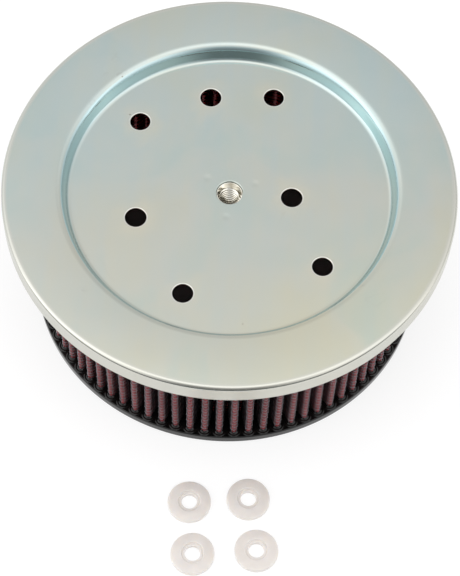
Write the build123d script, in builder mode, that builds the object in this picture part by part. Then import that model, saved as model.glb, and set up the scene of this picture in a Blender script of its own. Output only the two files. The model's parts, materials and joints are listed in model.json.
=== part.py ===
from build123d import *

import os
from math import atan2, cos, degrees, radians, sin, sqrt

# Round pleated air filter element for a motorcycle air box, with its four loose washers.
#
# A pressed, zinc plated steel top pan carries a weld nut in the middle and seven plain holes.
# A pleated gauze pack between two wire meshes hangs from the pan in black potting and stands
# in a moulded base ring.  Four nylon washers lie loose beside it.
#
# Millimetres, +Z up.  The origin is the centre of the base ring's sealing face.
# The X and Y axes follow the sides of the rectangle made by the four bolt holes.

os.makedirs("parts", exist_ok=True)

# ---------------------------------------------------------------- driving dimensions

# pressed steel top pan
PAN_OUTER_R = 89.0            # outside of the skirt, 7 inch pan
PAN_TOP_Z = 67.8              # top of the raised rim
FLOOR_TOP_Z = 61.1            # top of the recessed floor
SHEET = 1.2                   # steel sheet thickness
SKIRT_BOTTOM_Z = 58.5         # lower edge of the skirt
WALL_FOOT_R = 63.95           # recess wall where it meets the floor, middle of the sheet
WALL_HEAD_R = 65.95           # recess wall where it meets the rim, middle of the sheet
FOOT_BEND_R = 2.4             # bend radii, middle of the sheet
HEAD_BEND_R = 2.9
CORNER_BEND_R = 1.0
FLOOR_START_R = 4.2           # the profile starts here, inside the nut's hole, and is cut away

# plain holes through the recessed floor
BOLT_SPACING_X = 55.0
BOLT_SPACING_Y = 80.1
BOLT_HOLE_R = 3.95
SIDE_HOLE_R = 4.15
SIDE_HOLES = [(2.65, 45.45), (23.3, -7.4), (-38.25, -3.3)]

# flanged weld nut under the floor, 5/16-18 thread drawn at its minor diameter
NUT_PILOT_R = 5.15
NUT_HOLE_R = 5.225
NUT_TOP_Z = 60.4
NUT_FLANGE_R = 14.0
NUT_FLANGE_T = 2.4
NUT_BARREL_R = 7.0
NUT_BOTTOM_Z = 46.0
THREAD_MINOR_R = 3.3
THREAD_LEAD_IN = 1.55
THREAD_LEAD_DEPTH = 2.9
PROJECTION_R = 1.3            # the three weld projections pressed flat under the floor
PROJECTION_CIRCLE_R = 11.0
PROJECTION_ANGLES = (10.0, 130.0, 250.0)
PROJECTION_T = 0.2

# pleated pack: fold centres, and the offsets that bound each layer of the stack
PLEATS = 82
PLEAT_TURN = -105.1           # direction of one outer fold in degrees
OUTER_FOLD_CENTRE_R = 76.2
INNER_FOLD_CENTRE_R = 68.4
FOLD_R = 0.85                 # radius of a fold at the middle of the stack
STACK_HALF = 0.7
MESH_T = 0.28
LAYER_GAP = 0.1               # the layers lie loosely on each other
PLEAT_BOTTOM_Z = 1.5          # the pack's ends are buried in the ring and the potting
PLEAT_TOP_Z = 64.4
POCKET_CLEARANCE = 0.1

# black potting between the skirt and the recess wall
POTTING_BOTTOM_Z = 60.6
POTTING_BAND_H = 10.0         # tall enough to reach the underside of the rim

OVERCUT = 1.0                 # how far cutting tools run past a face

# moulded base ring
BASE_OUTER_R = 79.4
BASE_INNER_R = 64.0
BASE_H = 3.85
BASE_EDGE_R = 0.5

# loose nylon washers
WASHER_R = 8.55
WASHER_HOLE_R = 3.05
WASHER_T = 2.4
WASHER_DOME_DROP = 0.45       # the top falls this much from the hole to the edge
WASHER_STEP_R = 4.3           # shallow step around the hole
WASHER_STEP_SLOPE = 0.3       # the step's wall leans in by this much
WASHER_STEP_DEPTH = 0.5
WASHER_EDGE_R = 0.85
WASHER_PLACES = [(-37.8, -99.95), (-14.9, -103.8), (-16.7, -125.4), (-41.2, -121.35)]

BOLT_PLACES = [
    (sx * BOLT_SPACING_X / 2, sy * BOLT_SPACING_Y / 2)
    for sx in (-1, 1)
    for sy in (-1, 1)
]


# ---------------------------------------------------------------- pleat outline

def polar(radius, degrees_):
    """A point given by radius and angle."""
    return (radius * cos(radians(degrees_)), radius * sin(radians(degrees_)))


def flank_ends(outer, inner, outer_r, inner_r):
    """Ends of the straight flank that leaves the outer fold on its anticlockwise side
    and arrives at the next inner fold on its clockwise side."""
    dx = inner[0] - outer[0]
    dy = inner[1] - outer[1]
    distance = sqrt(dx * dx + dy * dy)
    across = atan2(dy, dx)
    swing = atan2(sqrt(distance**2 - (outer_r + inner_r) ** 2), outer_r + inner_r)
    direction = across + swing
    if direction_is_clockwise(outer, direction):
        direction = across - swing
    unit = (cos(direction), sin(direction))
    start = (outer[0] + outer_r * unit[0], outer[1] + outer_r * unit[1])
    end = (inner[0] - inner_r * unit[0], inner[1] - inner_r * unit[1])
    return start, end


def direction_is_clockwise(centre, direction):
    """True when a step in this direction moves clockwise around the filter's axis."""
    return centre[0] * sin(direction) - centre[1] * cos(direction) < 0


def mirror_about(point, angle):
    """The point reflected across the radial line at this angle."""
    radius = sqrt(point[0] ** 2 + point[1] ** 2)
    own = degrees(atan2(point[1], point[0]))
    return polar(radius, 2 * angle - own)


def pleat_loop(offset):
    """Closed outline of the pleated sheet, moved outwards from its middle by the offset."""
    pitch = 360 / PLEATS
    outer_r = FOLD_R + offset
    inner_r = FOLD_R - offset
    edges = []
    for index in range(PLEATS):
        here = PLEAT_TURN + index * pitch
        valley = here + pitch / 2
        outer = polar(OUTER_FOLD_CENTRE_R, here)
        inner = polar(INNER_FOLD_CENTRE_R, valley)
        start, end = flank_ends(outer, inner, outer_r, inner_r)
        before = mirror_about(start, here)
        crest = polar(OUTER_FOLD_CENTRE_R + outer_r, here)
        after = mirror_about(end, valley)
        bottom = polar(INNER_FOLD_CENTRE_R - inner_r, valley)
        following = mirror_about(start, valley)
        edges.append(ThreePointArc(before, crest, start))
        edges.append(Line(start, end))
        edges.append(ThreePointArc(end, bottom, after))
        edges.append(Line(after, following))
    return edges


def pleated_layer(low, high, bottom_z, top_z):
    """Solid sheet between two offsets of the pleat outline."""
    outside = pleat_loop(high)
    inside = pleat_loop(low)
    with BuildPart() as layer:
        with BuildSketch(Plane.XY.offset(bottom_z)):
            with BuildLine():
                add(outside)
            make_face()
            with BuildLine():
                add(inside)
            make_face(mode=Mode.SUBTRACT)
        extrude(amount=top_z - bottom_z)
    return layer


# ---------------------------------------------------------------- top pan

PAN_PATH = [
    (FLOOR_START_R, FLOOR_TOP_Z - SHEET / 2),
    (WALL_FOOT_R, FLOOR_TOP_Z - SHEET / 2),
    (WALL_HEAD_R, PAN_TOP_Z - SHEET / 2),
    (PAN_OUTER_R - SHEET / 2, PAN_TOP_Z - SHEET / 2),
    (PAN_OUTER_R - SHEET / 2, SKIRT_BOTTOM_Z),
]
PAN_BENDS = [FOOT_BEND_R, HEAD_BEND_R, CORNER_BEND_R]

with BuildPart() as top_pan:
    with BuildSketch(Plane.XZ):
        with BuildLine():
            FilletPolyline(*PAN_PATH, radius=PAN_BENDS)
        trace(line_width=SHEET)
    revolve(axis=Axis.Z)
    with BuildSketch(Plane.XY.offset(FLOOR_TOP_Z - SHEET - OVERCUT)):
        Circle(NUT_HOLE_R)
        with Locations(*BOLT_PLACES):
            Circle(BOLT_HOLE_R)
        with Locations(*SIDE_HOLES):
            Circle(SIDE_HOLE_R)
    extrude(amount=SHEET + 2 * OVERCUT, mode=Mode.SUBTRACT)
top_pan.part.label = "top_pan"
export_step(top_pan.part, "parts/top_pan.step")

# ---------------------------------------------------------------- weld nut

FLOOR_UNDER_Z = FLOOR_TOP_Z - SHEET
FLANGE_TOP_Z = FLOOR_UNDER_Z - PROJECTION_T

with BuildPart() as weld_nut:
    with BuildSketch(Plane.XY.offset(NUT_BOTTOM_Z)):
        Circle(NUT_BARREL_R)
    extrude(amount=FLANGE_TOP_Z - NUT_BOTTOM_Z)
    with BuildSketch(Plane.XY.offset(FLANGE_TOP_Z - NUT_FLANGE_T)):
        Circle(NUT_FLANGE_R)
    extrude(amount=NUT_FLANGE_T)
    with BuildSketch(Plane.XY.offset(FLANGE_TOP_Z)):
        Circle(NUT_PILOT_R)
    extrude(amount=NUT_TOP_Z - FLANGE_TOP_Z)
    with BuildSketch(Plane.XY.offset(FLANGE_TOP_Z)):
        for angle in PROJECTION_ANGLES:
            with Locations(polar(PROJECTION_CIRCLE_R, angle)):
                Circle(PROJECTION_R)
    extrude(amount=PROJECTION_T)
    with BuildSketch(Plane.XY.offset(NUT_BOTTOM_Z)):
        Circle(THREAD_MINOR_R)
    extrude(amount=NUT_TOP_Z - NUT_BOTTOM_Z, mode=Mode.SUBTRACT)
    with Locations((0, 0, NUT_TOP_Z - THREAD_LEAD_DEPTH / 2)):
        Cone(
            THREAD_MINOR_R,
            THREAD_MINOR_R + THREAD_LEAD_IN,
            THREAD_LEAD_DEPTH,
            mode=Mode.SUBTRACT,
        )
    with Locations((0, 0, NUT_BOTTOM_Z + THREAD_LEAD_IN / 4)):
        Cone(
            THREAD_MINOR_R + THREAD_LEAD_IN / 2,
            THREAD_MINOR_R,
            THREAD_LEAD_IN / 2,
            mode=Mode.SUBTRACT,
        )
weld_nut.part.label = "weld_nut"
export_step(weld_nut.part, "parts/weld_nut.step")

# ---------------------------------------------------------------- pleated pack

MESH_INNER = STACK_HALF - MESH_T
GAUZE_HALF = MESH_INNER - LAYER_GAP

outer_mesh = pleated_layer(MESH_INNER, STACK_HALF, PLEAT_BOTTOM_Z, PLEAT_TOP_Z)
outer_mesh.part.label = "outer_mesh"
export_step(outer_mesh.part, "parts/outer_mesh.step")

gauze = pleated_layer(-GAUZE_HALF, GAUZE_HALF, PLEAT_BOTTOM_Z, PLEAT_TOP_Z)
gauze.part.label = "gauze"
export_step(gauze.part, "parts/gauze.step")

inner_mesh = pleated_layer(-STACK_HALF, -MESH_INNER, PLEAT_BOTTOM_Z, PLEAT_TOP_Z)
inner_mesh.part.label = "inner_mesh"
export_step(inner_mesh.part, "parts/inner_mesh.step")

# ---------------------------------------------------------------- potting under the pan

POCKET = STACK_HALF + POCKET_CLEARANCE
top_pocket = pleated_layer(
    -POCKET, POCKET, POTTING_BOTTOM_Z - OVERCUT, PLEAT_TOP_Z + POCKET_CLEARANCE
)

with BuildPart() as top_potting:
    with BuildSketch(Plane.XZ) as potting_section:
        with BuildLine():
            under_pan = FilletPolyline(*PAN_PATH, radius=PAN_BENDS)
            Line(under_pan @ 1, under_pan @ 0)
        make_face()
        with Locations((WALL_FOOT_R - OVERCUT, POTTING_BOTTOM_Z)):
            Rectangle(
                PAN_OUTER_R - WALL_FOOT_R + 2 * OVERCUT,
                POTTING_BAND_H,
                align=Align.MIN,
                mode=Mode.INTERSECT,
            )
        with BuildLine():
            FilletPolyline(*PAN_PATH, radius=PAN_BENDS)
        trace(line_width=SHEET + 2 * POCKET_CLEARANCE, mode=Mode.SUBTRACT)
    revolve(axis=Axis.Z)
    add(top_pocket.part, mode=Mode.SUBTRACT)
top_potting.part.label = "top_potting"
export_step(top_potting.part, "parts/top_potting.step")

# ---------------------------------------------------------------- base ring

base_pocket = pleated_layer(-POCKET, POCKET, PLEAT_BOTTOM_Z - POCKET_CLEARANCE, BASE_H + OVERCUT)

with BuildPart() as base_ring:
    with BuildSketch():
        Circle(BASE_OUTER_R)
        Circle(BASE_INNER_R, mode=Mode.SUBTRACT)
    extrude(amount=BASE_H)
    fillet(base_ring.edges().group_by(Axis.Z)[-1], BASE_EDGE_R)
    fillet(base_ring.edges().group_by(Axis.Z)[0].sort_by(SortBy.RADIUS)[-1], BASE_EDGE_R)
    add(base_pocket.part, mode=Mode.SUBTRACT)
base_ring.part.label = "base_ring"
export_step(base_ring.part, "parts/base_ring.step")

# ---------------------------------------------------------------- loose washers

washer_edge_z = WASHER_T - WASHER_DOME_DROP

with BuildPart() as washer:
    with BuildSketch(Plane.XZ) as washer_section:
        with BuildLine():
            Polyline(
                (WASHER_HOLE_R, 0),
                (WASHER_R, 0),
                (WASHER_R, washer_edge_z),
                (WASHER_STEP_R, WASHER_T),
                (WASHER_STEP_R - WASHER_STEP_SLOPE, WASHER_T - WASHER_STEP_DEPTH),
                (WASHER_HOLE_R, WASHER_T - WASHER_STEP_DEPTH),
                close=True,
            )
        make_face()
        rim_corners = washer_section.vertices().group_by(Axis.X)[-1]
        fillet(rim_corners, WASHER_EDGE_R)
    revolve(axis=Axis.Z)

for number, place in enumerate(WASHER_PLACES, start=1):
    with BuildPart() as placed_washer:
        with Locations(place):
            add(washer.part)
    placed_washer.part.label = f"washer_{number}"
    export_step(placed_washer.part, f"parts/washer_{number}.step")
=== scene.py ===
"""Looks for the round pleated air filter element: fine meshes, materials, light and camera
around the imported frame."""

import json
import math

import bmesh
import bpy
import numpy as np
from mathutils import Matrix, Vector
from mathutils.geometry import delaunay_2d_cdt


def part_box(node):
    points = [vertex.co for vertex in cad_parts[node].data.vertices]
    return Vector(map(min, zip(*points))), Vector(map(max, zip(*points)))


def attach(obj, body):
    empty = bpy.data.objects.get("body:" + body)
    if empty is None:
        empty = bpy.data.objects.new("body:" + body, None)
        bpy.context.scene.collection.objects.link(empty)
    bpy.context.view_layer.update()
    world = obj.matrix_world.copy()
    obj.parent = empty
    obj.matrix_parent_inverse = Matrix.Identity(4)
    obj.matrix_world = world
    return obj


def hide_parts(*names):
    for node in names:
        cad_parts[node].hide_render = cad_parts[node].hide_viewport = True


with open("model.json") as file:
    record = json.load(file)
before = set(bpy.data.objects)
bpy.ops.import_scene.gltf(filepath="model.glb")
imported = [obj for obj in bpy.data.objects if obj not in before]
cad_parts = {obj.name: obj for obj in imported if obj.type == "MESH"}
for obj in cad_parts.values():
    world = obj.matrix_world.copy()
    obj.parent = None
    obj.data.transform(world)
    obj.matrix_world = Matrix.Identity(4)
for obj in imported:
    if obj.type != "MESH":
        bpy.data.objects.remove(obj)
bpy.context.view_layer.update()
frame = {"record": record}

MM = 0.001
TAU = 2 * math.pi
RECORD = frame["record"]
MOUNTS = {mount["name"]: mount for mount in RECORD["mounts"]}

# ---------------------------------------------------------------- sizes, in millimetres

pan_low, pan_high = (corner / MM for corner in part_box("top_pan"))
PAN_R = pan_high.x
RIM_Z = pan_high.z
SKIRT_Z = pan_low.z
SHEET = 1.2
FLOOR_Z = MOUNTS["bolt_rectangle"]["pos_m"][2] / MM
WALL_FOOT_R = 63.95           # corners of the recess wall, middle of the sheet
WALL_HEAD_R = 65.95
CROWN = 0.16                  # the pressed rim falls this much from its middle to its edges
PAN_BENDS = (2.4, 2.9, 1.0)   # bend radii at the foot, the head and the outer corner
RIM_HIGHLIGHT_FROM_R = 86.2        # the plate is painted a paler grey between these, as a painted highlight on the outer bend
RIM_HIGHLIGHT_TO_R = 87.8
SKIRT_FROM_R = 87.5           # the finish turns rougher between these, outside on the skirt
SKIRT_TO_R = 88.3

ring_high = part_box("base_ring")[1] / MM
RING_R = ring_high.x
RING_TOP = ring_high.z
RING_BORE_R = MOUNTS["base_opening"]["dims"]["r_mm"]

pot_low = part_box("top_potting")[0] / MM
nut_low, nut_high = (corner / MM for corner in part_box("weld_nut"))

PLEATS = 82
PLEAT_TURN = math.radians(-105.1)
OUTER_FOLD_R = 76.2           # circle of the outer fold centres
INNER_FOLD_R = 68.4           # circle of the inner fold centres
FOLD_R = 0.85                 # radius of a fold at the middle of the pack
PACK_HALF = 0.7
GAUZE_HALF = 0.22
PLEAT_LOW_Z = 1.6
PLEAT_HIGH_Z = 64.3
WIRE_R = 0.16                 # sets where the wires lie in the pack
HOOP_R = 0.19                 # so the hoops stand 0.03 proud of the pack
POST_R = 0.11
WEAVE = 0.14                  # how far a wire sways in and out as it passes the others
WIRE_LEVEL = PACK_HALF - WIRE_R - WEAVE
WIRE_PITCH = 2.5              # from hoop to hoop
UPRIGHTS_PER_HALF = 4         # uprights from a crest to the next valley
WANDER = 0.45                 # how far a fold strays sideways at mid height
CREST_FROM_R = 75.2           # the gauze and the wires are painted darker inside the first, as painted shade in the folds, and not past the second
CREST_TO_R = 76.8
INNER_LIGHT_FROM_R = 69.5           # the gauze is painted brighter inside the second, as painted light on the inner folds, and not outside the first
INNER_LIGHT_TO_R = 68.0

MINOR_R = MOUNTS["centre_thread"]["dims"]["r_mm"]
MAJOR_R = 3.95
THREAD_PITCH = 25.4 / 18
ROOT_FLAT = 1 / 16            # half of the flat at the thread's root, in pitches
FLANK = 5 / 16                # from the root's flat to the crest's, in pitches

FRONT = (-0.258, -0.966, 0)   # level direction from the part towards the camera

BODY_OF_NODE = {node: body for body, nodes in RECORD["behaviour"]["bodies"].items() for node in nodes}

random = np.random.default_rng(7)


# ---------------------------------------------------------------- mesh helpers

def make_object(verts_mm, faces, name, material, replaced, slot):
    """A piece from vertices in millimetres and its faces, riding on the body of what it replaces."""
    mesh = bpy.data.meshes.new(name)
    verts = np.asarray(verts_mm, float) * MM
    mesh.from_pydata(verts.tolist(), [], faces if isinstance(faces, list) else faces.tolist())
    mesh.update()
    mesh.shade_smooth()
    mesh.materials.append(material)
    piece = bpy.data.objects.new(name, mesh)
    bpy.context.scene.collection.objects.link(piece)
    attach(piece, BODY_OF_NODE[replaced])
    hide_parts(replaced)
    return piece


def filleted(points, radii, step=math.radians(9)):
    """Open outline through the points, with each inner corner rounded to its radius."""
    outline = [np.array(points[0], float)]
    for before, corner, after, radius in zip(points, points[1:], points[2:], radii):
        before, corner, after = (np.array(p, float) for p in (before, corner, after))
        back = (before - corner) / np.linalg.norm(before - corner)
        ahead = (after - corner) / np.linalg.norm(after - corner)
        half = math.acos(np.clip(back @ ahead, -1, 1)) / 2
        centre = corner + (back + ahead) / np.linalg.norm(back + ahead) * radius / math.sin(half)
        start = corner + back * radius / math.tan(half) - centre
        end = corner + ahead * radius / math.tan(half) - centre
        turn = math.pi - 2 * half
        count = max(2, round(turn / step))
        for share in np.linspace(0, 1, count + 1):
            spoke = math.sin((1 - share) * turn) * start + math.sin(share * turn) * end
            outline.append(centre + spoke / math.sin(turn))
    outline.append(np.array(points[-1], float))
    return np.array(outline)


def offset_outline(outline, distance):
    """The outline moved sideways; positive is to the left of its direction."""
    ahead = np.gradient(outline, axis=0)
    ahead /= np.linalg.norm(ahead, axis=1)[:, None]
    ahead[0] = (outline[1] - outline[0]) / np.linalg.norm(outline[1] - outline[0])
    ahead[-1] = (outline[-1] - outline[-2]) / np.linalg.norm(outline[-1] - outline[-2])
    return outline + distance * np.stack([-ahead[:, 1], ahead[:, 0]], axis=1)


def lathe(outline, segments, centre=(0, 0)):
    """Vertices and quads of an outline of (radius, height) turned about a vertical axis.
    The outline runs so that its left side is outside."""
    outline = np.asarray(outline, float)
    angle = np.arange(segments) * TAU / segments
    radius = outline[:, 0][:, None]
    x = radius * np.cos(angle) + centre[0]
    y = radius * np.sin(angle) + centre[1]
    z = np.repeat(outline[:, 1][:, None], segments, axis=1)
    verts = np.stack([x, y, z], axis=2).reshape(-1, 3)
    return verts, grid_faces(len(outline), segments, False)


def grid_faces(rows, columns, rows_closed):
    """Quads of a grid whose vertices are stored row by row, each row closed on itself."""
    row = np.arange(rows if rows_closed else rows - 1)
    r, c = np.meshgrid(row, np.arange(columns), indexing="ij")
    r_next, c_next = (r + 1) % rows, (c + 1) % columns
    corners = [r * columns + c, r_next * columns + c, r_next * columns + c_next, r * columns + c_next]
    return np.stack(corners, axis=2).reshape(-1, 4)


def guarded(outline, gap=0.2):
    """The outline with a point close to each end of its long runs, so that they shade flat."""
    points = [outline[0]]
    for start, end in zip(outline, outline[1:]):
        run = end - start
        length = np.linalg.norm(run)
        if length > 4 * gap:
            points += [start + run * gap / length, end - run * gap / length]
        points.append(end)
    return np.array(points)


def ring(radius, height, segments, centre=(0, 0)):
    """Points round a circle, as a lathe with the same number of segments makes them."""
    return lathe([(radius, height)], segments, centre)[0]


def weld(mesh, distance=1e-6):
    """Joins vertices that lie on each other."""
    worked = bmesh.new()
    worked.from_mesh(mesh)
    bmesh.ops.remove_doubles(worked, verts=worked.verts, dist=distance)
    worked.to_mesh(mesh)
    worked.free()


class Build:
    """Vertices and faces of one piece, gathered part by part."""

    def __init__(self):
        self.verts = []
        self.faces = []
        self.count = 0

    def add(self, verts, faces):
        self.verts.append(np.asarray(verts, float))
        self.faces += (np.asarray(faces) + self.count).tolist()
        self.count += len(verts)

    def object(self, *words):
        piece = make_object(np.concatenate(self.verts), self.faces, *words)
        weld(piece.data)
        return piece


# ---------------------------------------------------------------- pleat shape

HALF_PITCH = math.pi / PLEATS


def half_pleat(offset, samples=240):
    """From the crest to the next valley: places and outward normals in the crest's own frame
    (across, outwards), evenly spaced along the sheet at this offset from the pack's middle."""
    crest = np.array([0.0, OUTER_FOLD_R])
    valley = INNER_FOLD_R * np.array([math.sin(HALF_PITCH), math.cos(HALF_PITCH)])
    crest_r, valley_r = FOLD_R + offset, FOLD_R - offset
    link = valley - crest
    length = np.linalg.norm(link)
    along = link / length
    side = np.array([-along[1], along[0]])
    cosine = (crest_r + valley_r) / length
    normal = cosine * along + math.sqrt(1 - cosine * cosine) * side
    crest_turn = math.atan2(normal[0], normal[1])
    crest_arc = np.linspace(0, crest_turn, 30)
    crest_normals = np.stack([np.sin(crest_arc), np.cos(crest_arc)], axis=1)
    valley_arc = np.linspace(crest_turn, HALF_PITCH, 30)
    valley_normals = np.stack([np.sin(valley_arc), np.cos(valley_arc)], axis=1)
    places = np.concatenate([crest + crest_r * crest_normals, valley - valley_r * valley_normals])
    normals = np.concatenate([crest_normals, valley_normals])
    steps = np.linalg.norm(np.diff(places, axis=0), axis=1)
    travel = np.concatenate([[0], np.cumsum(steps)])
    wanted = np.linspace(0, travel[-1], samples)
    places = np.stack([np.interp(wanted, travel, places[:, i]) for i in (0, 1)], axis=1)
    normals = np.stack([np.interp(wanted, travel, normals[:, i]) for i in (0, 1)], axis=1)
    normals /= np.linalg.norm(normals, axis=1)[:, None]
    return places, normals, travel[-1]


def full_loop(offset, shares):
    """The closed pleat outline at the given shares of each half pleat, from 0 at the crest to
    1 at the valley. Returns places, outward normals and distance along the sheet."""
    places, normals, length = half_pleat(offset)
    shares = np.asarray(shares, float)
    index = shares * (len(places) - 1)
    right_p = np.stack([np.interp(index, range(len(places)), places[:, i]) for i in (0, 1)], axis=1)
    right_n = np.stack([np.interp(index, range(len(places)), normals[:, i]) for i in (0, 1)], axis=1)
    left = slice(None, 0, -1) if shares[0] == 0 else slice(None, None, -1)
    keep = slice(0, -1) if shares[-1] == 1 else slice(None)
    flip = np.array([-1.0, 1.0])
    cell_p = np.concatenate([right_p[left] * flip, right_p[keep]])
    cell_n = np.concatenate([right_n[left] * flip, right_n[keep]])
    travel = np.concatenate([-shares[left], shares[keep]]) * length
    turn = PLEAT_TURN + np.arange(PLEATS) * 2 * HALF_PITCH
    across = np.stack([np.sin(turn), -np.cos(turn)], axis=1)
    outwards = np.stack([np.cos(turn), np.sin(turn)], axis=1)
    loop_p = cell_p[None, :, :1] * across[:, None] + cell_p[None, :, 1:] * outwards[:, None]
    loop_n = cell_n[None, :, :1] * across[:, None] + cell_n[None, :, 1:] * outwards[:, None]
    distance = travel[None, :] + (2 * length) * np.arange(PLEATS)[:, None]
    return loop_p.reshape(-1, 2), loop_n.reshape(-1, 2), distance.reshape(-1)


fold_stray = random.normal(0, 0.5, (3, PLEATS)).clip(-1, 1)


def wandered(points):
    """The points of the pack with its folds strayed a little between their potted ends."""
    x, y, z = points[..., 0], points[..., 1], points[..., 2]
    radius = np.hypot(x, y)
    turn = np.arctan2(y, x)
    cell = ((turn - PLEAT_TURN) / (2 * HALF_PITCH)) % PLEATS
    near = np.floor(cell).astype(int) % PLEATS
    share = cell - np.floor(cell)
    height = np.clip((z - PLEAT_LOW_Z) / (PLEAT_HIGH_Z - PLEAT_LOW_Z), 0, 1)
    shapes = [0.5 ** (wave - 1) * np.sin(wave * math.pi * height) for wave in (1, 2, 3)]
    stray = 0
    for row, shape in zip(fold_stray, shapes):
        stray = stray + (row[near] * (1 - share) + row[(near + 1) % PLEATS] * share) * shape
    turn = turn - stray * WANDER / radius
    return np.stack([radius * np.cos(turn), radius * np.sin(turn), z], axis=-1)


def tube_faces(lines, points, sides, closed):
    """Quads of tubes whose vertices are stored as line, point, side."""
    spans = points if closed else points - 1
    line, point, side = np.meshgrid(np.arange(lines), np.arange(spans), np.arange(sides), indexing="ij")
    base, beyond = line * points * sides, (point + 1) % points
    side_next = (side + 1) % sides
    corners = [
        base + point * sides + side,
        base + point * sides + side_next,
        base + beyond * sides + side_next,
        base + beyond * sides + side,
    ]
    return np.stack(corners, axis=3).reshape(-1, 4)


def tubes(centres, first_axis, second_axis, radius, sides, closed):
    """Round wires along rows of centre points, given two axes across the wire at each point."""
    turn = np.arange(sides) * TAU / sides
    spokes = np.cos(turn)[:, None] * first_axis[..., None, :]
    spokes = spokes + np.sin(turn)[:, None] * second_axis[..., None, :]
    verts = centres[..., None, :] + radius * spokes
    return verts.reshape(-1, 3), tube_faces(centres.shape[0], centres.shape[1], sides, closed)


# ---------------------------------------------------------------- material helpers

class Shader:
    """A node material with one Principled shader, and short calls that add nodes to it."""

    def __init__(self, name):
        self.material = bpy.data.materials.new(name)
        self.material.use_nodes = True
        self.tree = self.material.node_tree
        self.tree.nodes.clear()
        self.out = self.tree.nodes.new("ShaderNodeOutputMaterial")
        self.surface = self.tree.nodes.new("ShaderNodeBsdfPrincipled")
        self.tree.links.new(self.surface.outputs[0], self.out.inputs["Surface"])
        place = self.tree.nodes.new("ShaderNodeTexCoord")
        self.place = place.outputs["Object"]

    def set(self, **sockets):
        """Values of the Principled shader, with _ for a blank in the socket's name."""
        for key, value in sockets.items():
            self.surface.inputs[key.replace("_", " ")].default_value = value

    def feed(self, socket, name):
        self.tree.links.new(socket, self.surface.inputs[name])

    def let_through(self, share, color):
        """Shows the light from behind a thin cloth over this share of the surface."""
        thin = self.node("BsdfTranslucent", {"Color": (*color, 1)})
        both = self.node("MixShader", {0: share, 1: self.surface.outputs[0], 2: thin.outputs[0]})
        self.tree.links.new(both.outputs[0], self.out.inputs["Surface"])

    def node(self, kind, inputs=(), **settings):
        """A node with its settings, and its inputs given as {name or index: value or socket}."""
        made = self.tree.nodes.new("ShaderNode" + kind)
        for key, value in settings.items():
            setattr(made, key, value)
        for key, value in dict(inputs).items():
            if isinstance(value, bpy.types.NodeSocket):
                self.tree.links.new(value, made.inputs[key])
            else:
                made.inputs[key].default_value = value
        return made

    def math(self, operation, first, second=0.0):
        return self.node("Math", {0: first, 1: second}, operation=operation).outputs[0]

    def noise(self, scale, vector=None, detail=3.0, roughness=0.5, distortion=0.0):
        inputs = {
            "Vector": self.place if vector is None else vector,
            "Scale": scale,
            "Detail": detail,
            "Roughness": roughness,
            "Distortion": distortion,
        }
        return self.node("TexNoise", inputs).outputs["Fac"]

    def ramp(self, fac, stops):
        made = self.node("ValToRGB", {"Fac": fac})
        elements = made.color_ramp.elements
        while len(elements) < len(stops):
            elements.new(1.0)
        for element, (position, color) in zip(elements, stops):
            element.position = position
            element.color = color if len(color) == 4 else (*color, 1)
        return made.outputs["Color"]

    def span(self, value, low, high, to_low=0.0, to_high=1.0):
        inputs = {"Value": value, "From Min": low, "From Max": high, "To Min": to_low, "To Max": to_high}
        return self.node("MapRange", inputs, interpolation_type="SMOOTHSTEP").outputs[0]

    def mix(self, fac, first, second, blend="MIX"):
        made = self.node("Mix", {"Factor": fac}, data_type="RGBA", blend_type=blend)
        for index, value in ((6, first), (7, second)):
            if isinstance(value, bpy.types.NodeSocket):
                self.tree.links.new(value, made.inputs[index])
            else:
                made.inputs[index].default_value = value if len(value) == 4 else (*value, 1)
        return made.outputs[2]

    def bump(self, height, strength, distance, normal=None):
        inputs = {"Height": height, "Strength": strength, "Distance": distance}
        if normal is not None:
            inputs["Normal"] = normal
        return self.node("Bump", inputs).outputs[0]


# ---------------------------------------------------------------- materials

def pan_holes():
    """Centre and radius of each punched hole, as the record's mounts give them."""
    pattern = MOUNTS["bolt_rectangle"]["dims"]
    half_x, half_y = pattern["spacing_x_mm"] / 2, pattern["spacing_y_mm"] / 2
    holes = [((sx * half_x, sy * half_y), pattern["hole_r_mm"]) for sx in (-1, 1) for sy in (-1, 1)]
    for name, mount in MOUNTS.items():
        if name.startswith("side_hole"):
            place = mount["pos_m"]
            holes.append(((place[0] / MM, place[1] / MM), mount["dims"]["r_mm"]))
    return holes


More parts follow.
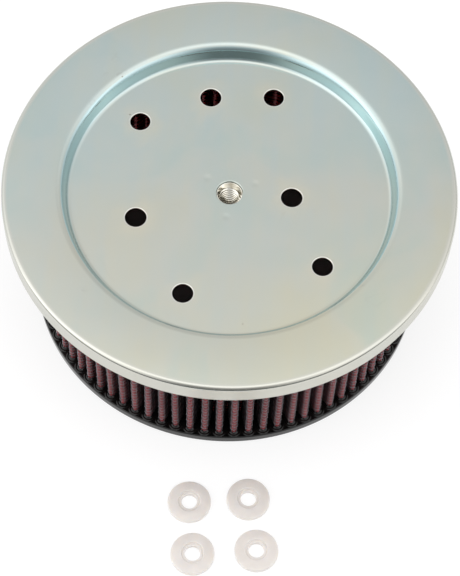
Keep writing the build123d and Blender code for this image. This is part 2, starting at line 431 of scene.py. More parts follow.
def pan_material():
    """Zinc plate: its bloom runs from yellow in front to blue behind, with a stain round each hole, and
    painted highlights on the hole edges and the outer bend.
    """
    shader = Shader("zinc_plated_pan")
    away = shader.node("VectorMath", {0: shader.place, 1: FRONT}, operation="DOT_PRODUCT").outputs["Value"]
    drift = shader.noise(9, detail=2, roughness=0.4)
    from_behind = shader.span(away, -0.09, 0.09, 0.15, 0.95)
    bands = shader.math("ADD", from_behind, shader.span(drift, 0.2, 0.8, -0.3, 0.3))
    color = shader.ramp(bands, [
        (0.10, (0.500, 0.575, 0.570)),
        (0.40, (0.535, 0.575, 0.545)),
        (0.65, (0.560, 0.575, 0.530)),
        (0.90, (0.595, 0.595, 0.510)),
    ])
    cloud = shader.noise(24, detail=4, roughness=0.5, distortion=0.5)
    soft = shader.ramp(cloud, [
        (0.34, (0.93, 0.985, 1.00)),
        (0.50, (1.00, 1.00, 1.00)),
        (0.66, (1.01, 0.99, 0.95)),
    ])
    color = shader.mix(1.0, color, soft, "MULTIPLY")
    sideways = (-FRONT[1], FRONT[0], 0)
    aside = shader.node("VectorMath", {0: shader.place, 1: sideways}, operation="DOT_PRODUCT")
    run = shader.math("MULTIPLY", away, 0.10)
    runs = shader.node("CombineXYZ", {0: aside.outputs["Value"], 1: run}).outputs[0]
    streak = shader.ramp(shader.noise(140, vector=runs, detail=3), [
        (0.35, (0.970, 0.990, 1.000)),
        (0.65, (1.000, 0.995, 0.975)),
    ])
    color = shader.mix(1.0, color, streak, "MULTIPLY")
    color = hole_stains_and_highlight(shader, color)
    color = scratched(shader, color)
    # painted highlight: a paler, more neutral grey on the outer bend
    rim = shader.span(axis_distance(shader), RIM_HIGHLIGHT_FROM_R * MM, RIM_HIGHLIGHT_TO_R * MM)
    color = shader.mix(shader.math("MULTIPLY", rim, 0.75), color, (0.615, 0.610, 0.560))
    shader.feed(wall_tint(shader, color), "Base Color")
    grain = shader.noise(1800, detail=2)
    swell = shader.noise(30, detail=1)
    shader.feed(shader.bump(grain, 0.05, 0.00003, shader.bump(swell, 0.25, 0.0003)), "Normal")
    polish = shader.span(shader.noise(100, detail=3), 0.3, 0.7, 0.11, 0.17)
    height = shader.node("SeparateXYZ", {"Vector": shader.place}).outputs[2]
    brushed = shader.span(height, (RIM_Z - 1.5) * MM, (RIM_Z - 2.5) * MM)
    skirt = shader.span(axis_distance(shader), SKIRT_FROM_R * MM, SKIRT_TO_R * MM)
    outside = shader.math("MULTIPLY", brushed, skirt)
    shader.feed(shader.math("ADD", polish, shader.math("MULTIPLY", outside, 0.2)), "Roughness")
    shader.set(Metallic=1.0)
    return shader.material


def axis_distance(shader):
    """Metres from the part's axis, at any height."""
    level = shader.node("VectorMath", {0: shader.place, 1: (1, 1, 0)}, operation="MULTIPLY").outputs[0]
    return shader.node("VectorMath", {0: level}, operation="LENGTH").outputs["Value"]


def hole_stains_and_highlight(shader, color):
    """Yellow plating stain round each plain hole, fading over about two of its radii, a pale painted
    highlight on its rolled edge, and dark brown on its wall.
    """
    nearest = None
    for (x, y), radius in pan_holes():
        middle = (x * MM, y * MM, FLOOR_Z * MM)
        place = shader.node("VectorMath", {0: shader.place, 1: middle}, operation="DISTANCE")
        beyond = shader.math("SUBTRACT", place.outputs["Value"], radius * MM)
        nearest = beyond if nearest is None else shader.math("MINIMUM", nearest, beyond)
    ragged = shader.math("MULTIPLY", shader.noise(80, detail=3), 0.020)
    reach = shader.span(shader.math("ADD", nearest, ragged), 0.006, 0.018, 0.55, 0.0)
    stain = shader.mix(reach, color, (0.635, 0.600, 0.490))
    # painted highlight: a pale ring on the rolled edge of each hole
    rolled = shader.mix(shader.span(nearest, 0.0003, 0.0007, 0.45, 0.0), stain, (0.86, 0.86, 0.84))
    edge = shader.span(nearest, 0.0, 0.0002, 0.75, 0.0)
    return shader.mix(edge, rolled, (0.34, 0.20, 0.10))


def scratched(shader, color):
    """Faint wandering hairlines and a few dark specks."""
    wander = shader.noise(22, detail=4, roughness=0.6)
    contour = shader.math("ABSOLUTE", shader.math("SUBTRACT", wander, 0.47))
    broken = shader.span(shader.noise(35, detail=2), 0.52, 0.62)
    hair = shader.math("MULTIPLY", shader.span(contour, 0.0, 0.0016, 0.30, 0.0), broken)
    color = shader.mix(hair, color, (0.34, 0.33, 0.30))
    dots = shader.node("TexVoronoi", {"Vector": shader.place, "Scale": 130.0})
    chosen = shader.node("SeparateColor", {"Color": dots.outputs["Color"]}).outputs[0]
    rare = shader.math("GREATER_THAN", chosen, 0.93)
    dot = shader.math("MULTIPLY", shader.span(dots.outputs["Distance"], 0.03, 0.06, 0.55, 0.0), rare)
    return shader.mix(dot, color, (0.20, 0.16, 0.12))


def wall_tint(shader, color):
    """The drawn wall of the recess is bluer than the floor and the rim."""
    radius = axis_distance(shader)
    inner = shader.span(radius, (WALL_FOOT_R - 1.2) * MM, (WALL_FOOT_R + 0.2) * MM)
    outer = shader.span(radius, (WALL_HEAD_R - 0.4) * MM, (WALL_HEAD_R + 0.4) * MM, 1.0, 0.0)
    return shader.mix(shader.math("MULTIPLY", inner, outer), color, (0.505, 0.665, 0.685))


def bright_steel_material():
    shader = Shader("bright_steel_nut")
    worn = shader.noise(350, detail=4)
    shader.feed(shader.ramp(worn, [(0.3, (0.66, 0.62, 0.53)), (0.7, (0.86, 0.85, 0.80))]), "Base Color")
    shader.feed(shader.bump(shader.noise(2500, detail=2), 0.08, 0.00003), "Normal")
    shader.feed(shader.span(worn, 0.3, 0.7, 0.05, 0.09), "Roughness")
    shader.set(Metallic=1.0)
    return shader.material


def urethane_material():
    shader = Shader("black_urethane_gloss")
    cloud = shader.noise(180, detail=4)
    black = shader.ramp(cloud, [(0.3, (0.0025, 0.0025, 0.0025)), (0.7, (0.005, 0.005, 0.0045))])
    shader.feed(black, "Base Color")
    wave = shader.noise(90, detail=2)
    pits = shader.noise(1400, detail=2)
    shader.feed(shader.bump(pits, 0.05, 0.00004, shader.bump(wave, 0.3, 0.0003)), "Normal")
    shader.feed(shader.span(cloud, 0.3, 0.7, 0.04, 0.08), "Roughness")
    shader.set(IOR=1.45)
    return shader.material


def painted_fold_shade(shader):
    """Painted shade in the folds: 0.85 down in the outer folds, and 0 on their crests."""
    return shader.span(axis_distance(shader), CREST_FROM_R * MM, CREST_TO_R * MM, 0.85, 0.0)


def gauze_material():
    """Oiled cotton: red threads with darker gaps, painted shade deep in the outer folds, and painted light
    on the inner folds.
    """
    shader = Shader("oiled_red_cotton")
    weave_uv = shader.node("UVMap", uv_map="weave").outputs[0]
    split = shader.node("SeparateXYZ", {"Vector": weave_uv})
    threads = TAU / 0.00048
    along = shader.math("SINE", shader.math("MULTIPLY", split.outputs[0], threads))
    up = shader.math("SINE", shader.math("MULTIPLY", split.outputs[1], threads))
    woven = shader.math("MAXIMUM", shader.math("ABSOLUTE", along), shader.math("ABSOLUTE", up))
    uneven = shader.noise(900, detail=3)
    thread = shader.span(shader.math("ADD", woven, shader.math("MULTIPLY", uneven, 0.5)), 0.55, 1.15)
    # painted light: the inner folds are painted a brighter red, and let more light through
    inner_painted_light = shader.span(axis_distance(shader), INNER_LIGHT_FROM_R * MM, INNER_LIGHT_TO_R * MM)
    dark = shader.mix(thread, (0.09, 0.009, 0.012), (0.27, 0.045, 0.050))
    fibre = shader.mix(inner_painted_light, dark, (0.90, 0.22, 0.20))
    oil = shader.ramp(shader.noise(70, detail=3), [(0.3, (0.72, 0.60, 0.62)), (0.7, (1.0, 1.0, 1.0))])
    fibre = shader.mix(1.0, fibre, oil, "MULTIPLY")
    # painted shade deep in the outer folds, left off where the inner folds are painted lighter
    fold_shade_share = shader.math("MULTIPLY", painted_fold_shade(shader), shader.math("SUBTRACT", 1.0, inner_painted_light))
    shader.feed(shader.mix(fold_shade_share, fibre, (0.050, 0.010, 0.013)), "Base Color")
    shader.feed(shader.bump(woven, 0.6, 0.0001), "Normal")
    shader.set(Roughness=0.6)
    shader.set(Subsurface_Weight=1.0)
    shader.set(Subsurface_Scale=0.002)
    shader.surface.inputs["Subsurface Radius"].default_value = (1.0, 0.3, 0.3)
    shader.let_through(shader.math("MULTIPLY", inner_painted_light, 0.9), (1.0, 0.58, 0.60))
    return shader.material


def wire_material(name, dull, bright, metallic):
    """Dip-coated wire, painted near black down in the folds as painted shade, and in its own grey on the
    crests.
    """
    shader = Shader(name)
    shade = shader.ramp(shader.noise(60, detail=2), [(0.3, dull), (0.7, bright)])
    # painted shade: the wire turns near black down in the folds
    shader.feed(shader.mix(painted_fold_shade(shader), shade, (0.02, 0.02, 0.02)), "Base Color")
    shader.set(Roughness=0.32)
    shader.set(Metallic=metallic)
    return shader.material


def nylon_material():
    shader = Shader("natural_nylon")
    cloud = shader.noise(220, detail=3)
    shader.feed(shader.ramp(cloud, [(0.3, (0.71, 0.675, 0.65)), (0.7, (0.75, 0.715, 0.69))]), "Base Color")
    shader.feed(shader.bump(shader.noise(500, detail=2), 0.12, 0.0001), "Normal")
    shader.feed(shader.span(cloud, 0.3, 0.7, 0.42, 0.52), "Roughness")
    shader.set(IOR=1.45)
    shader.set(Subsurface_Weight=0.7)
    shader.set(Subsurface_Scale=0.0025)
    shader.surface.inputs["Subsurface Radius"].default_value = (1.0, 0.9, 0.75)
    return shader.material


# ---------------------------------------------------------------- the pan

FLOOR_EDGE_R = 60.5
ROUND_SEGMENTS = 288
HOLE_SEGMENTS = 64
HOLE_EDGE = 0.35
GUARD = 0.5
DIMPLE_DEPTH = 0.07
DIMPLE_R = 2.1
DIMPLE_CIRCLE_R = 11.0
DIMPLE_ANGLES = (10, 130, 250)
CENTRE_HOLE_R = 5.225


def dimple_depth(x, y):
    depth = 0.0
    for angle in DIMPLE_ANGLES:
        centre_x = DIMPLE_CIRCLE_R * math.cos(math.radians(angle))
        centre_y = DIMPLE_CIRCLE_R * math.sin(math.radians(angle))
        away = math.hypot(x - centre_x, y - centre_y) / DIMPLE_R
        if away < 1:
            depth += DIMPLE_DEPTH * (1 - away * away) ** 2
    return depth


def floor_sheet(height, holes, upward):
    """A flat round floor with holes, its edges ready to meet the lathed parts."""
    loops = [ring(FLOOR_EDGE_R, 0, ROUND_SEGMENTS)]
    loops += [ring(radius + GUARD, 0, HOLE_SEGMENTS, centre) for centre, radius in holes]
    points, edges = [], []
    for loop in loops:
        start = len(points)
        points += [Vector(p[:2]) for p in loop]
        edges += [(start + i, start + (i + 1) % len(loop)) for i in range(len(loop))]
    for angle in DIMPLE_ANGLES:
        centre = (
            DIMPLE_CIRCLE_R * math.cos(math.radians(angle)),
            DIMPLE_CIRCLE_R * math.sin(math.radians(angle)),
        )
        points.append(Vector(centre))
        for step in range(1, 9):
            points += [Vector(p[:2]) for p in ring(DIMPLE_R * step / 7, 0, 24, centre)]
    placed, _, triangles, *_ = delaunay_2d_cdt(points, edges, [], 1, 1e-7)
    kept = []
    for triangle in triangles:
        middle = sum((placed[i] for i in triangle), Vector((0, 0))) / 3
        if all(math.dist(middle, centre) > radius + GUARD * 0.98 for centre, radius in holes):
            kept.append(tuple(triangle) if upward else tuple(triangle)[::-1])
    sink = dimple_depth if upward else (lambda x, y: 0.0)
    return np.array([(p.x, p.y, height - sink(p.x, p.y)) for p in placed]), kept


def hole_wall(centre, radius):
    """The rolled edges and wall of one punched hole, out to its flat guard rings."""
    top, bottom = FLOOR_Z, FLOOR_Z - SHEET
    corners = [(radius + GUARD, bottom), (radius, bottom), (radius, top), (radius + GUARD, top)]
    outline = filleted(corners, (HOLE_EDGE, HOLE_EDGE), step=math.radians(15))
    return lathe(guarded(outline, 0.06), HOLE_SEGMENTS, centre)


def pan_outline():
    """The middle of the pan's sheet, from the edge of the flat floor out to the skirt's end."""
    half = SHEET / 2
    corners = [
        (FLOOR_EDGE_R, FLOOR_Z - half),
        (WALL_FOOT_R, FLOOR_Z - half),
        (WALL_HEAD_R, RIM_Z - half),
        (PAN_R - half, RIM_Z - half),
        (PAN_R - half, SKIRT_Z),
    ]
    return filleted(corners, PAN_BENDS)


def make_pan(material):
    half = SHEET / 2
    outline = guarded(pan_outline(), 1.0)
    rim = np.flatnonzero(outline[:, 1] > RIM_Z - half - 0.01)
    inner, outer = outline[rim[0]], outline[rim[-1]]
    crown = [inner + (outer - inner) * share for share in np.linspace(0, 1, 13)]
    outline = np.concatenate([outline[:rim[0]], crown, outline[rim[-1] + 1:]])
    from_middle = (outline[:, 0] - (inner[0] + outer[0]) / 2) / (outer[0] - inner[0]) * 2
    droop = np.clip(from_middle, 0, 1) ** 2 + np.clip(-from_middle, 0, 1) ** 2
    outline[:, 1] -= CROWN * droop * (outline[:, 1] > RIM_Z - 2.5 * SHEET)
    upper = offset_outline(outline, half)
    lower = offset_outline(outline, -half)[::-1]
    lip = filleted([upper[-2], upper[-1], lower[0], lower[1]], (0.4, 0.4), step=math.radians(15))
    skin = guarded(np.concatenate([upper[:-2], lip, lower[2:]]))
    holes = pan_holes() + [((0, 0), CENTRE_HOLE_R)]
    build = Build()
    build.add(*lathe(skin, ROUND_SEGMENTS))
    for height, upward in ((FLOOR_Z, True), (FLOOR_Z - SHEET, False)):
        build.add(*floor_sheet(height, holes, upward))
    for centre, radius in holes:
        build.add(*hole_wall(centre, radius))
    return build.object("pan", material, "top_pan", "zinc_plated_steel")


# ---------------------------------------------------------------- the weld nut

FLANGE_R = 14.0
FLANGE_T = 2.4
FLANGE_TOP = 59.7
BARREL_R = 7.0
PILOT_R = 5.15
LEAD_IN = 1.55
LEAD_DEPTH = 2.9              # steep enough for its near side to be hidden from the front


def thread_outline(height):
    """Radii of the helical bore at this height, all round."""
    turn = np.arange(HOLE_SEGMENTS * 2) / (HOLE_SEGMENTS * 2)
    phase = (height / THREAD_PITCH - turn) % 1.0
    from_root = np.minimum(phase, 1 - phase)
    depth = 1 - np.clip((from_root - ROOT_FLAT) / FLANK, 0, 1)
    radius = MINOR_R + (MAJOR_R - MINOR_R) * depth
    top_cone = MINOR_R + LEAD_IN - (nut_high.z - height) * LEAD_IN / LEAD_DEPTH
    bottom_cone = MINOR_R + LEAD_IN / 2 - (height - nut_low.z)
    return np.maximum(radius, max(top_cone, bottom_cone))


def make_nut(material):
    segments = HOLE_SEGMENTS * 2
    base, top = nut_low.z, nut_high.z
    corners = [
        (MINOR_R + LEAD_IN, top),
        (PILOT_R, top),
        (PILOT_R, FLANGE_TOP),
        (FLANGE_R, FLANGE_TOP),
        (FLANGE_R, FLANGE_TOP - FLANGE_T),
        (BARREL_R, FLANGE_TOP - FLANGE_T),
        (BARREL_R, base),
        (MINOR_R + LEAD_IN / 2, base),
    ]
    outside = guarded(filleted(corners, (0.12, 0.1, 0.3, 0.3, 0.4, 0.4)), 0.1)
    heights = np.linspace(base, top, 160)
    turn = np.arange(segments) * TAU / segments
    rows = [(radius * np.cos(turn), radius * np.sin(turn), np.full(segments, height))
            for height, radius in ((h, thread_outline(h)) for h in heights)]
    bore = np.stack([np.stack(row, axis=1) for row in rows]).reshape(-1, 3)
    build = Build()
    build.add(*lathe(outside, segments))
    build.add(bore, grid_faces(len(heights), segments, False))
    foot, crest = FLANGE_TOP - 0.3, FLANGE_TOP + 0.19
    dome = [(0.01, foot), (1.3, foot), (1.3, FLANGE_TOP), (0.8, crest), (0.01, crest)]
    for angle in DIMPLE_ANGLES:
        centre = ring(DIMPLE_CIRCLE_R, 0, 360)[angle % 360][:2]
        build.add(*lathe(dome[::-1], 24, centre))
    return build.object("nut", material, "weld_nut", "bright_steel")


# ---------------------------------------------------------------- potted ends

CELL_SAMPLES = 26
MENISCUS = 0.5                # how far the cast face climbs where it wets the pleats
MENISCUS_REACH = 0.18
BEAD = 0.22                   # low bead that the pack squeezed up around itself
BEAD_PLACE = 0.85
BEAD_WIDTH = 0.30
RING_EDGE = 0.5
RING_FIRST_ROW = 1.2          # from the bore to the ring face's first row
FILL_OUTER_ROW = 81.0         # one more row of the fill, outside the pack
FILL_INSET = 0.05             # between the fill's edges and the pan above it

CAST_STATIONS = np.concatenate([
    [66.0, 66.3, 66.6, 66.9, 67.4, 68.2, 69.2, 70.4, 71.6, 72.8, 73.8, 74.7],
    np.linspace(75.4, 78.8, 22),
])


def pack_distance(points):
    """Distance from points in a crest's frame (across, outwards) to the pleat pack's faces."""
    places, _, _ = half_pleat(0.0)
    turn = 2 * HALF_PITCH
    cells = []
    for step in (-1, 0, 1):
        for flip in (1, -1):
            copy = places * (flip, 1)
            cos, sin = math.cos(step * turn), math.sin(step * turn)
            across, outwards = copy.T
            turned = [across * cos + outwards * sin, outwards * cos - across * sin]
            cells.append(np.stack(turned, axis=1))
    path = np.concatenate(cells)
    gaps = np.sqrt(((points[:, None, :] - path[None]) ** 2).sum(axis=2)).min(axis=1)
    return np.maximum(gaps - PACK_HALF, 0)


def potted_face(radii, level, rise):
    """A cast face with a row of points at each radius, drawn up where it wets the pleats;
    rise is +1 for a face that looks up and -1 for one that looks down."""
    turn = (np.arange(CELL_SAMPLES) / CELL_SAMPLES - 0.5) * 2 * HALF_PITCH
    r, t = np.meshgrid(radii, turn, indexing="ij")
    distance = pack_distance(np.stack([r * np.sin(t), r * np.cos(t)], axis=2).reshape(-1, 2))
    lift = MENISCUS * np.exp(-distance / MENISCUS_REACH)
    lift += BEAD * np.exp(-((distance - BEAD_PLACE) / BEAD_WIDTH) ** 2)
    height = (level + rise * lift).reshape(r.shape)
    around = PLEAT_TURN + np.arange(PLEATS)[:, None] * 2 * HALF_PITCH + turn[None]
    around = around.reshape(-1)
    height = np.tile(height, (1, PLEATS))
    radius = np.repeat(radii[:, None], len(around), axis=1)
    return np.stack([radius * np.cos(around), radius * np.sin(around), height], axis=2).reshape(-1, 3)


def closed_cast(profile_after, radii, level, rise, name, material, replaced):
    """A cast ring: its wetted face, then the rest of its outline lathed with the same columns."""
    verts = potted_face(radii, level, rise)
    columns = CELL_SAMPLES * PLEATS
    turn = PLEAT_TURN - HALF_PITCH + np.arange(columns) * TAU / columns
    rest = np.asarray(profile_after, float)
    x = rest[:, :1] * np.cos(turn)
    y = rest[:, :1] * np.sin(turn)
    z = np.repeat(rest[:, 1:], columns, axis=1)
    others = np.stack([x, y, z], axis=2).reshape(-1, 3)
    rows = len(radii) + len(rest)
    faces = grid_faces(rows, columns, True)
    if rise < 0:
        faces = faces[:, ::-1]
    build = Build()
    build.add(np.concatenate([verts, others]), faces)
    return build.object(name, material, replaced, "black_urethane")


def make_base_ring(material):
    radii = np.concatenate([
        [RING_BORE_R + RING_EDGE, RING_BORE_R + RING_FIRST_ROW],
        CAST_STATIONS,
        [RING_R - RING_EDGE],
    ])
    outline = filleted(
        [
            (RING_R - RING_EDGE, RING_TOP),
            (RING_R, RING_TOP),
            (RING_R, 0.0),
            (RING_BORE_R, 0.0),
            (RING_BORE_R, RING_TOP),
            (RING_BORE_R + RING_EDGE, RING_TOP),
        ],
        (RING_EDGE * 0.98, RING_EDGE, 0.05, RING_EDGE * 0.98),
    )
    rest = guarded(outline)[1:-1]
    return closed_cast(rest, radii, RING_TOP, 1, "base_ring_cast", material, "base_ring")


def make_potting(material):
    """The cast fill under the rim; its upper side lies against the pan."""
    under = offset_outline(pan_outline(), -SHEET / 2 - 0.02)
    low = pot_low.z
    foot = low + FILL_INSET
    channel = np.array([p for p in under if p[1] > foot and p[0] > WALL_FOOT_R])
    first, last = channel[0], channel[-1]
    radii = np.concatenate([
        [first[0] + FILL_INSET],
        CAST_STATIONS[1:],
        [FILL_OUTER_ROW, last[0] - FILL_INSET],
    ])
    outline = np.concatenate([[[last[0], foot]], channel[::-1], [[first[0], foot]]])
    return closed_cast(outline, radii, low, -1, "potting_cast", material, "top_potting")


# ---------------------------------------------------------------- gauze and wire mesh

def make_gauze(material):
    """The folded cotton, closed over its thickness, with its own lengths as texture places."""
    shares = np.linspace(0, 1, 15)
    rows = 40
    heights = np.linspace(PLEAT_LOW_Z, PLEAT_HIGH_Z, rows)
    skins, uv = [], []
    for offset in (GAUZE_HALF, -GAUZE_HALF):
        places, _, distance = full_loop(offset, shares)
        grid = np.concatenate([
            np.repeat(places[None], rows, axis=0),
            np.repeat(heights[:, None, None], len(places), axis=1),
        ], axis=2)
        skins.append(wandered(grid))
        up = np.repeat(heights[:, None], len(places), axis=1)
        uv.append(np.stack([np.tile(distance, (rows, 1)), up], axis=2))
    columns = skins[0].shape[1]
    verts = np.concatenate([skins[0], skins[1][::-1]]).reshape(-1, 3)
    lengths = np.concatenate([uv[0], uv[1][::-1]]).reshape(-1, 2) * MM
    faces = grid_faces(2 * rows, columns, True)[:, ::-1]
    piece = make_object(verts, faces, "gauze_folds", material, "gauze", "red_gauze")
    layer = piece.data.uv_layers.new(name="weave")
    index = np.zeros(len(piece.data.loops), dtype=np.int32)
    piece.data.loops.foreach_get("vertex_index", index)
    corner = lengths[index].reshape(-1, 4, 2)
    wrap = corner[..., 0].max(axis=1) - corner[..., 0].min(axis=1) > 1.0
    corner[wrap, :, 0] += (corner[wrap, :, 0] < 0.5) * 2 * PLEATS * half_pleat(0.0)[2] * MM
    layer.data.foreach_set("uv", corner.reshape(-1).astype(np.float32))
    flat = (PLEATS * 2 * half_pleat(0.0)[2] * MM, (PLEAT_HIGH_Z - PLEAT_LOW_Z) * MM)
    return piece


def make_mesh_layer(side, hoop_wire, post_wire):
    """One woven layer of the pack, as hoops and uprights; side is +1 outside and -1 inside."""
    replaced = "outer_mesh" if side > 0 else "inner_mesh"
    level = side * WIRE_LEVEL
    post_shares = (np.arange(UPRIGHTS_PER_HALF) + 0.5) / UPRIGHTS_PER_HALF
    hoop_shares = np.arange(2 * UPRIGHTS_PER_HALF + 1) / (2 * UPRIGHTS_PER_HALF)
    heights = np.arange(PLEAT_LOW_Z + WIRE_R, PLEAT_HIGH_Z - WIRE_R, WIRE_PITCH)
    row_sign = np.where(np.arange(len(heights)) % 2 == 0, 1.0, -1.0)

    places, normals, _ = full_loop(level, hoop_shares)
    count = len(places)
    post_sign = np.zeros(count)
    post_sign[1::2] = np.where(np.arange(count // 2) % 2 == 0, 1.0, -1.0)
    sway = WEAVE * row_sign[:, None] * post_sign[None]
    flat = places[None] + normals[None] * sway[..., None]
    z = np.broadcast_to(heights[:, None, None], (len(heights), count, 1))
    out = np.broadcast_to(np.append(normals, np.zeros((count, 1)), axis=1), (len(heights), count, 3))
    up = np.broadcast_to((0.0, 0.0, 1.0), out.shape)
    verts, faces = tubes(wandered(np.concatenate([flat, z], axis=2)), out, up, HOOP_R, 3, True)
    make_object(verts, faces, f"{replaced}_hoops", hoop_wire, replaced, "wire_mesh")

    places, normals, _ = full_loop(level, post_shares)
    count = len(places)
    levels = np.sort(np.append(heights, (heights[1:] + heights[:-1]) / 2))
    sway = np.zeros((count, len(levels)))
    sway[:, ::2] = -WEAVE * row_sign[None] * np.where(np.arange(count) % 2 == 0, 1.0, -1.0)[:, None]
    flat = places[:, None] + normals[:, None] * sway[..., None]
    z = np.broadcast_to(levels[None, :, None], (count, len(levels), 1))
    out = np.append(normals, np.zeros((count, 1)), axis=1)[:, None]
    out = np.broadcast_to(out, (count, len(levels), 3))
    along = np.stack([-out[..., 1], out[..., 0], out[..., 2]], axis=-1)
    verts, faces = tubes(wandered(np.concatenate([flat, z], axis=2)), out, along, POST_R, 3, False)
    make_object(verts, faces, f"{replaced}_uprights", post_wire, replaced, "wire_mesh")


# ---------------------------------------------------------------- washers

WASHER_HOLE_R = 3.05
WASHER_STEP_R = 4.3
WASHER_SEGMENTS = 128
WASHER_STEP = 0.5
WASHER_DOME = 0.45
WASHER_EDGE = 0.85


def make_washer(node, material):
    low, high = (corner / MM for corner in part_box(node))
    centre = ((low.x + high.x) / 2, (low.y + high.y) / 2)
    radius = (high.x - low.x) / 2
    top = high.z
    shoulder = top - WASHER_DOME
    dome = [(WASHER_STEP_R + (radius - WASHER_EDGE - WASHER_STEP_R) * share,
             top - WASHER_DOME * share ** 2) for share in np.linspace(0, 1, 9)]
    step_floor = top - WASHER_STEP
    corners = [
        (WASHER_HOLE_R, low.z),
        (WASHER_HOLE_R, step_floor),
        (WASHER_STEP_R - 0.1, step_floor),
        *dome,
        (radius, shoulder - 0.25),
        (radius, low.z),
    ]
    fine = 0.08
    radii = [0.25, 0.15, 0.3] + [fine] * (len(dome) - 2) + [0.6, WASHER_EDGE * 0.6]
    outline = guarded(filleted(corners, radii, step=math.radians(12)), 0.1)
    build = Build()
    build.add(*lathe(outline, WASHER_SEGMENTS, centre))
    last = (len(outline) - 1) * WASHER_SEGMENTS
    for here in range(WASHER_SEGMENTS):
        after = (here + 1) % WASHER_SEGMENTS
        build.faces.append([last + here, here, after, last + after])
    return build.object(f"{node}_nylon", material, node, "nylon")


# ---------------------------------------------------------------- making it all

make_pan(pan_material())
make_nut(bright_steel_material())
urethane = urethane_material()
make_base_ring(urethane)
make_potting(urethane)
make_gauze(gauze_material())
hoop_wire = wire_material("coated_hoop_wire", (0.22, 0.20, 0.22), (0.30, 0.28, 0.30), 0.4)
# painted shade: the uprights get a near-black copy of the coated wire, much darker than the hoops
post_wire = wire_material("coated_upright_wire", (0.06, 0.05, 0.055), (0.10, 0.09, 0.095), 0.2)
make_mesh_layer(1, hoop_wire, post_wire)
make_mesh_layer(-1, hoop_wire, post_wire)
nylon = nylon_material()
for washer in ("washer_1", "washer_2", "washer_3", "washer_4"):
    make_washer(washer, nylon)


# ---------------------------------------------------------------- floor, light and camera

def stage_sheet(name, near, far, height):
    """A level sheet of the stage, from one distance in front of the part to another."""
    ahead = Vector(FRONT)
    aside = Vector((-ahead.y, ahead.x, 0)) * 4.0
    mesh = bpy.data.meshes.new(name)
    corners = [ahead * near - aside, ahead * near + aside, ahead * far + aside, ahead * far - aside]
    mesh.from_pydata(corners, [], [(0, 3, 2, 1)])
    sheet = bpy.data.objects.new(name, mesh)
    sheet.location.z = height
    bpy.context.scene.collection.objects.link(sheet)
    return sheet


GLOW_FROM_R = 66.0            # the table's glow is left out inside the first, as a painted shadow under the part, and is full past the second
GLOW_TO_R = 74.0
CARD_NEAR = 0.19              # metres in front of the part
CARD_FAR = 1.5


def make_floor():
    """A white table that glows as if overexposed, except under the part's own opening, where the glow is
    left out as a painted shadow. A dark card in front keeps the polished edges crisp, and is hidden from
    the camera."""
    floor = stage_sheet("floor", -4.0, 4.0, -0.0003)
    shader = Shader("white_table")
    radius = shader.node("VectorMath", {0: shader.place}, operation="LENGTH").outputs["Value"]
    # painted shadow: no glow under the part's opening
    around = shader.span(radius, GLOW_FROM_R * MM, GLOW_TO_R * MM)
    shader.set(Base_Color=(0.30, 0.30, 0.30, 1.0))
    shader.set(Roughness=0.8)
    shader.set(Specular_IOR_Level=0.0)
    shader.set(Emission_Color=(1.0, 1.0, 1.0, 1.0))
    shader.feed(shader.math("MULTIPLY", around, 0.74), "Emission Strength")
    floor.data.materials.append(shader.material)
    flag = stage_sheet("black_flag", CARD_NEAR, CARD_FAR, 0.0002)
    black = Shader("black_card")
    black.set(Base_Color=(0.01, 0.01, 0.01, 1.0))
    black.set(Emission_Color=(0.85, 0.95, 1.0, 1.0))
    black.set(Emission_Strength=0.16)
    black.set(Specular_IOR_Level=0.0)
    flag.data.materials.append(black.material)
    flag.visible_camera = False
    flag.visible_diffuse = False
    flag.visible_shadow = False


# brightness of the tent against the angle up from the horizon in front, right over to behind
SKY_MIDDLE = (
    (0, 0.20),
    (20, 0.30),
    (37, 0.42),
    (51, 0.75),
    (65, 1.25),
    (79, 1.58),
    (94, 1.60),
    (106, 1.25),
    (115, 1.02),
    (124, 0.90),
    (140, 0.78),
    (180, 0.78),
)
SKY_SIDES = (
    (0, 0.50),
    (18, 0.90),
    (31, 1.15),
    (52, 1.50),
    (70, 1.75),
    (90, 1.50),
    (117, 1.20),
    (130, 1.05),
    (150, 0.90),
    (180, 0.80),
)


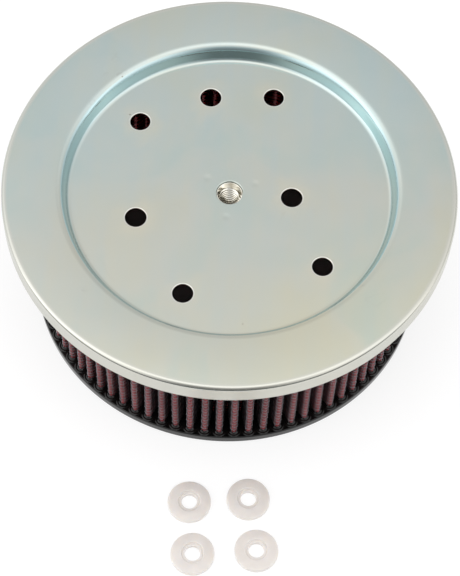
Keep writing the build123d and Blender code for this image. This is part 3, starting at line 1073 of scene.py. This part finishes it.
def make_world():
    """A light tent: panels over the top and at both sides, with a dim gap in the middle in front."""
    world = bpy.data.worlds.new("studio")
    world.use_nodes = True
    tree = world.node_tree
    tree.nodes.clear()

    def node(kind, inputs=(), **settings):
        made = tree.nodes.new("ShaderNode" + kind)
        for key, value in settings.items():
            setattr(made, key, value)
        for key, value in dict(inputs).items():
            if isinstance(value, bpy.types.NodeSocket):
                tree.links.new(value, made.inputs[key])
            else:
                made.inputs[key].default_value = value
        return made

    def along(axis):
        return node("VectorMath", {0: direction, 1: axis}, operation="DOT_PRODUCT").outputs["Value"]

    def profile(stops):
        ramp = node("ValToRGB", {"Fac": share})
        elements = ramp.color_ramp.elements
        while len(elements) < len(stops):
            elements.new(1.0)
        for element, (degrees, level) in zip(elements, stops):
            element.position = degrees / 180
            element.color = (level, level, level, 1)
        return ramp.outputs["Color"]

    direction = node("TexCoord").outputs["Generated"]
    angle = node("Math", {0: along((0, 0, 1)), 1: along(FRONT)}, operation="ARCTAN2").outputs[0]
    share = node("Math", {0: angle, 1: math.pi}, operation="DIVIDE").outputs[0]
    aside = along((-FRONT[1], FRONT[0], 0))
    away = node("Math", {0: aside}, operation="ABSOLUTE").outputs[0]
    reach = {"Value": away, "From Min": 0.15, "From Max": 0.62}
    to_side = node("MapRange", reach, interpolation_type="SMOOTHSTEP").outputs[0]
    parts = {"Factor": to_side, 6: profile(SKY_MIDDLE), 7: profile(SKY_SIDES)}
    sky = node("Mix", parts, data_type="RGBA")
    tilt = {"Value": aside, "From Min": -0.8, "From Max": 0.8, "To Min": 1.15, "To Max": 0.88}
    balance = node("MapRange", tilt)
    back = node("Background", {"Color": sky.outputs[2], "Strength": balance.outputs[0]})
    out = node("OutputWorld")
    tree.links.new(back.outputs[0], out.inputs[0])
    bpy.context.scene.world = world


def make_camera():
    data = bpy.data.cameras.new("camera")
    data.lens = 120
    data.sensor_width = 36
    camera = bpy.data.objects.new("camera", data)
    camera.location = (-0.102136, -0.382436, 0.703139)
    camera.rotation_euler = [math.radians(angle) for angle in (28.787, -1.279, -12.900)]
    bpy.context.scene.collection.objects.link(camera)
    bpy.context.scene.camera = camera


make_floor()
make_world()
make_camera()
bpy.context.scene.view_settings.view_transform = "Standard"
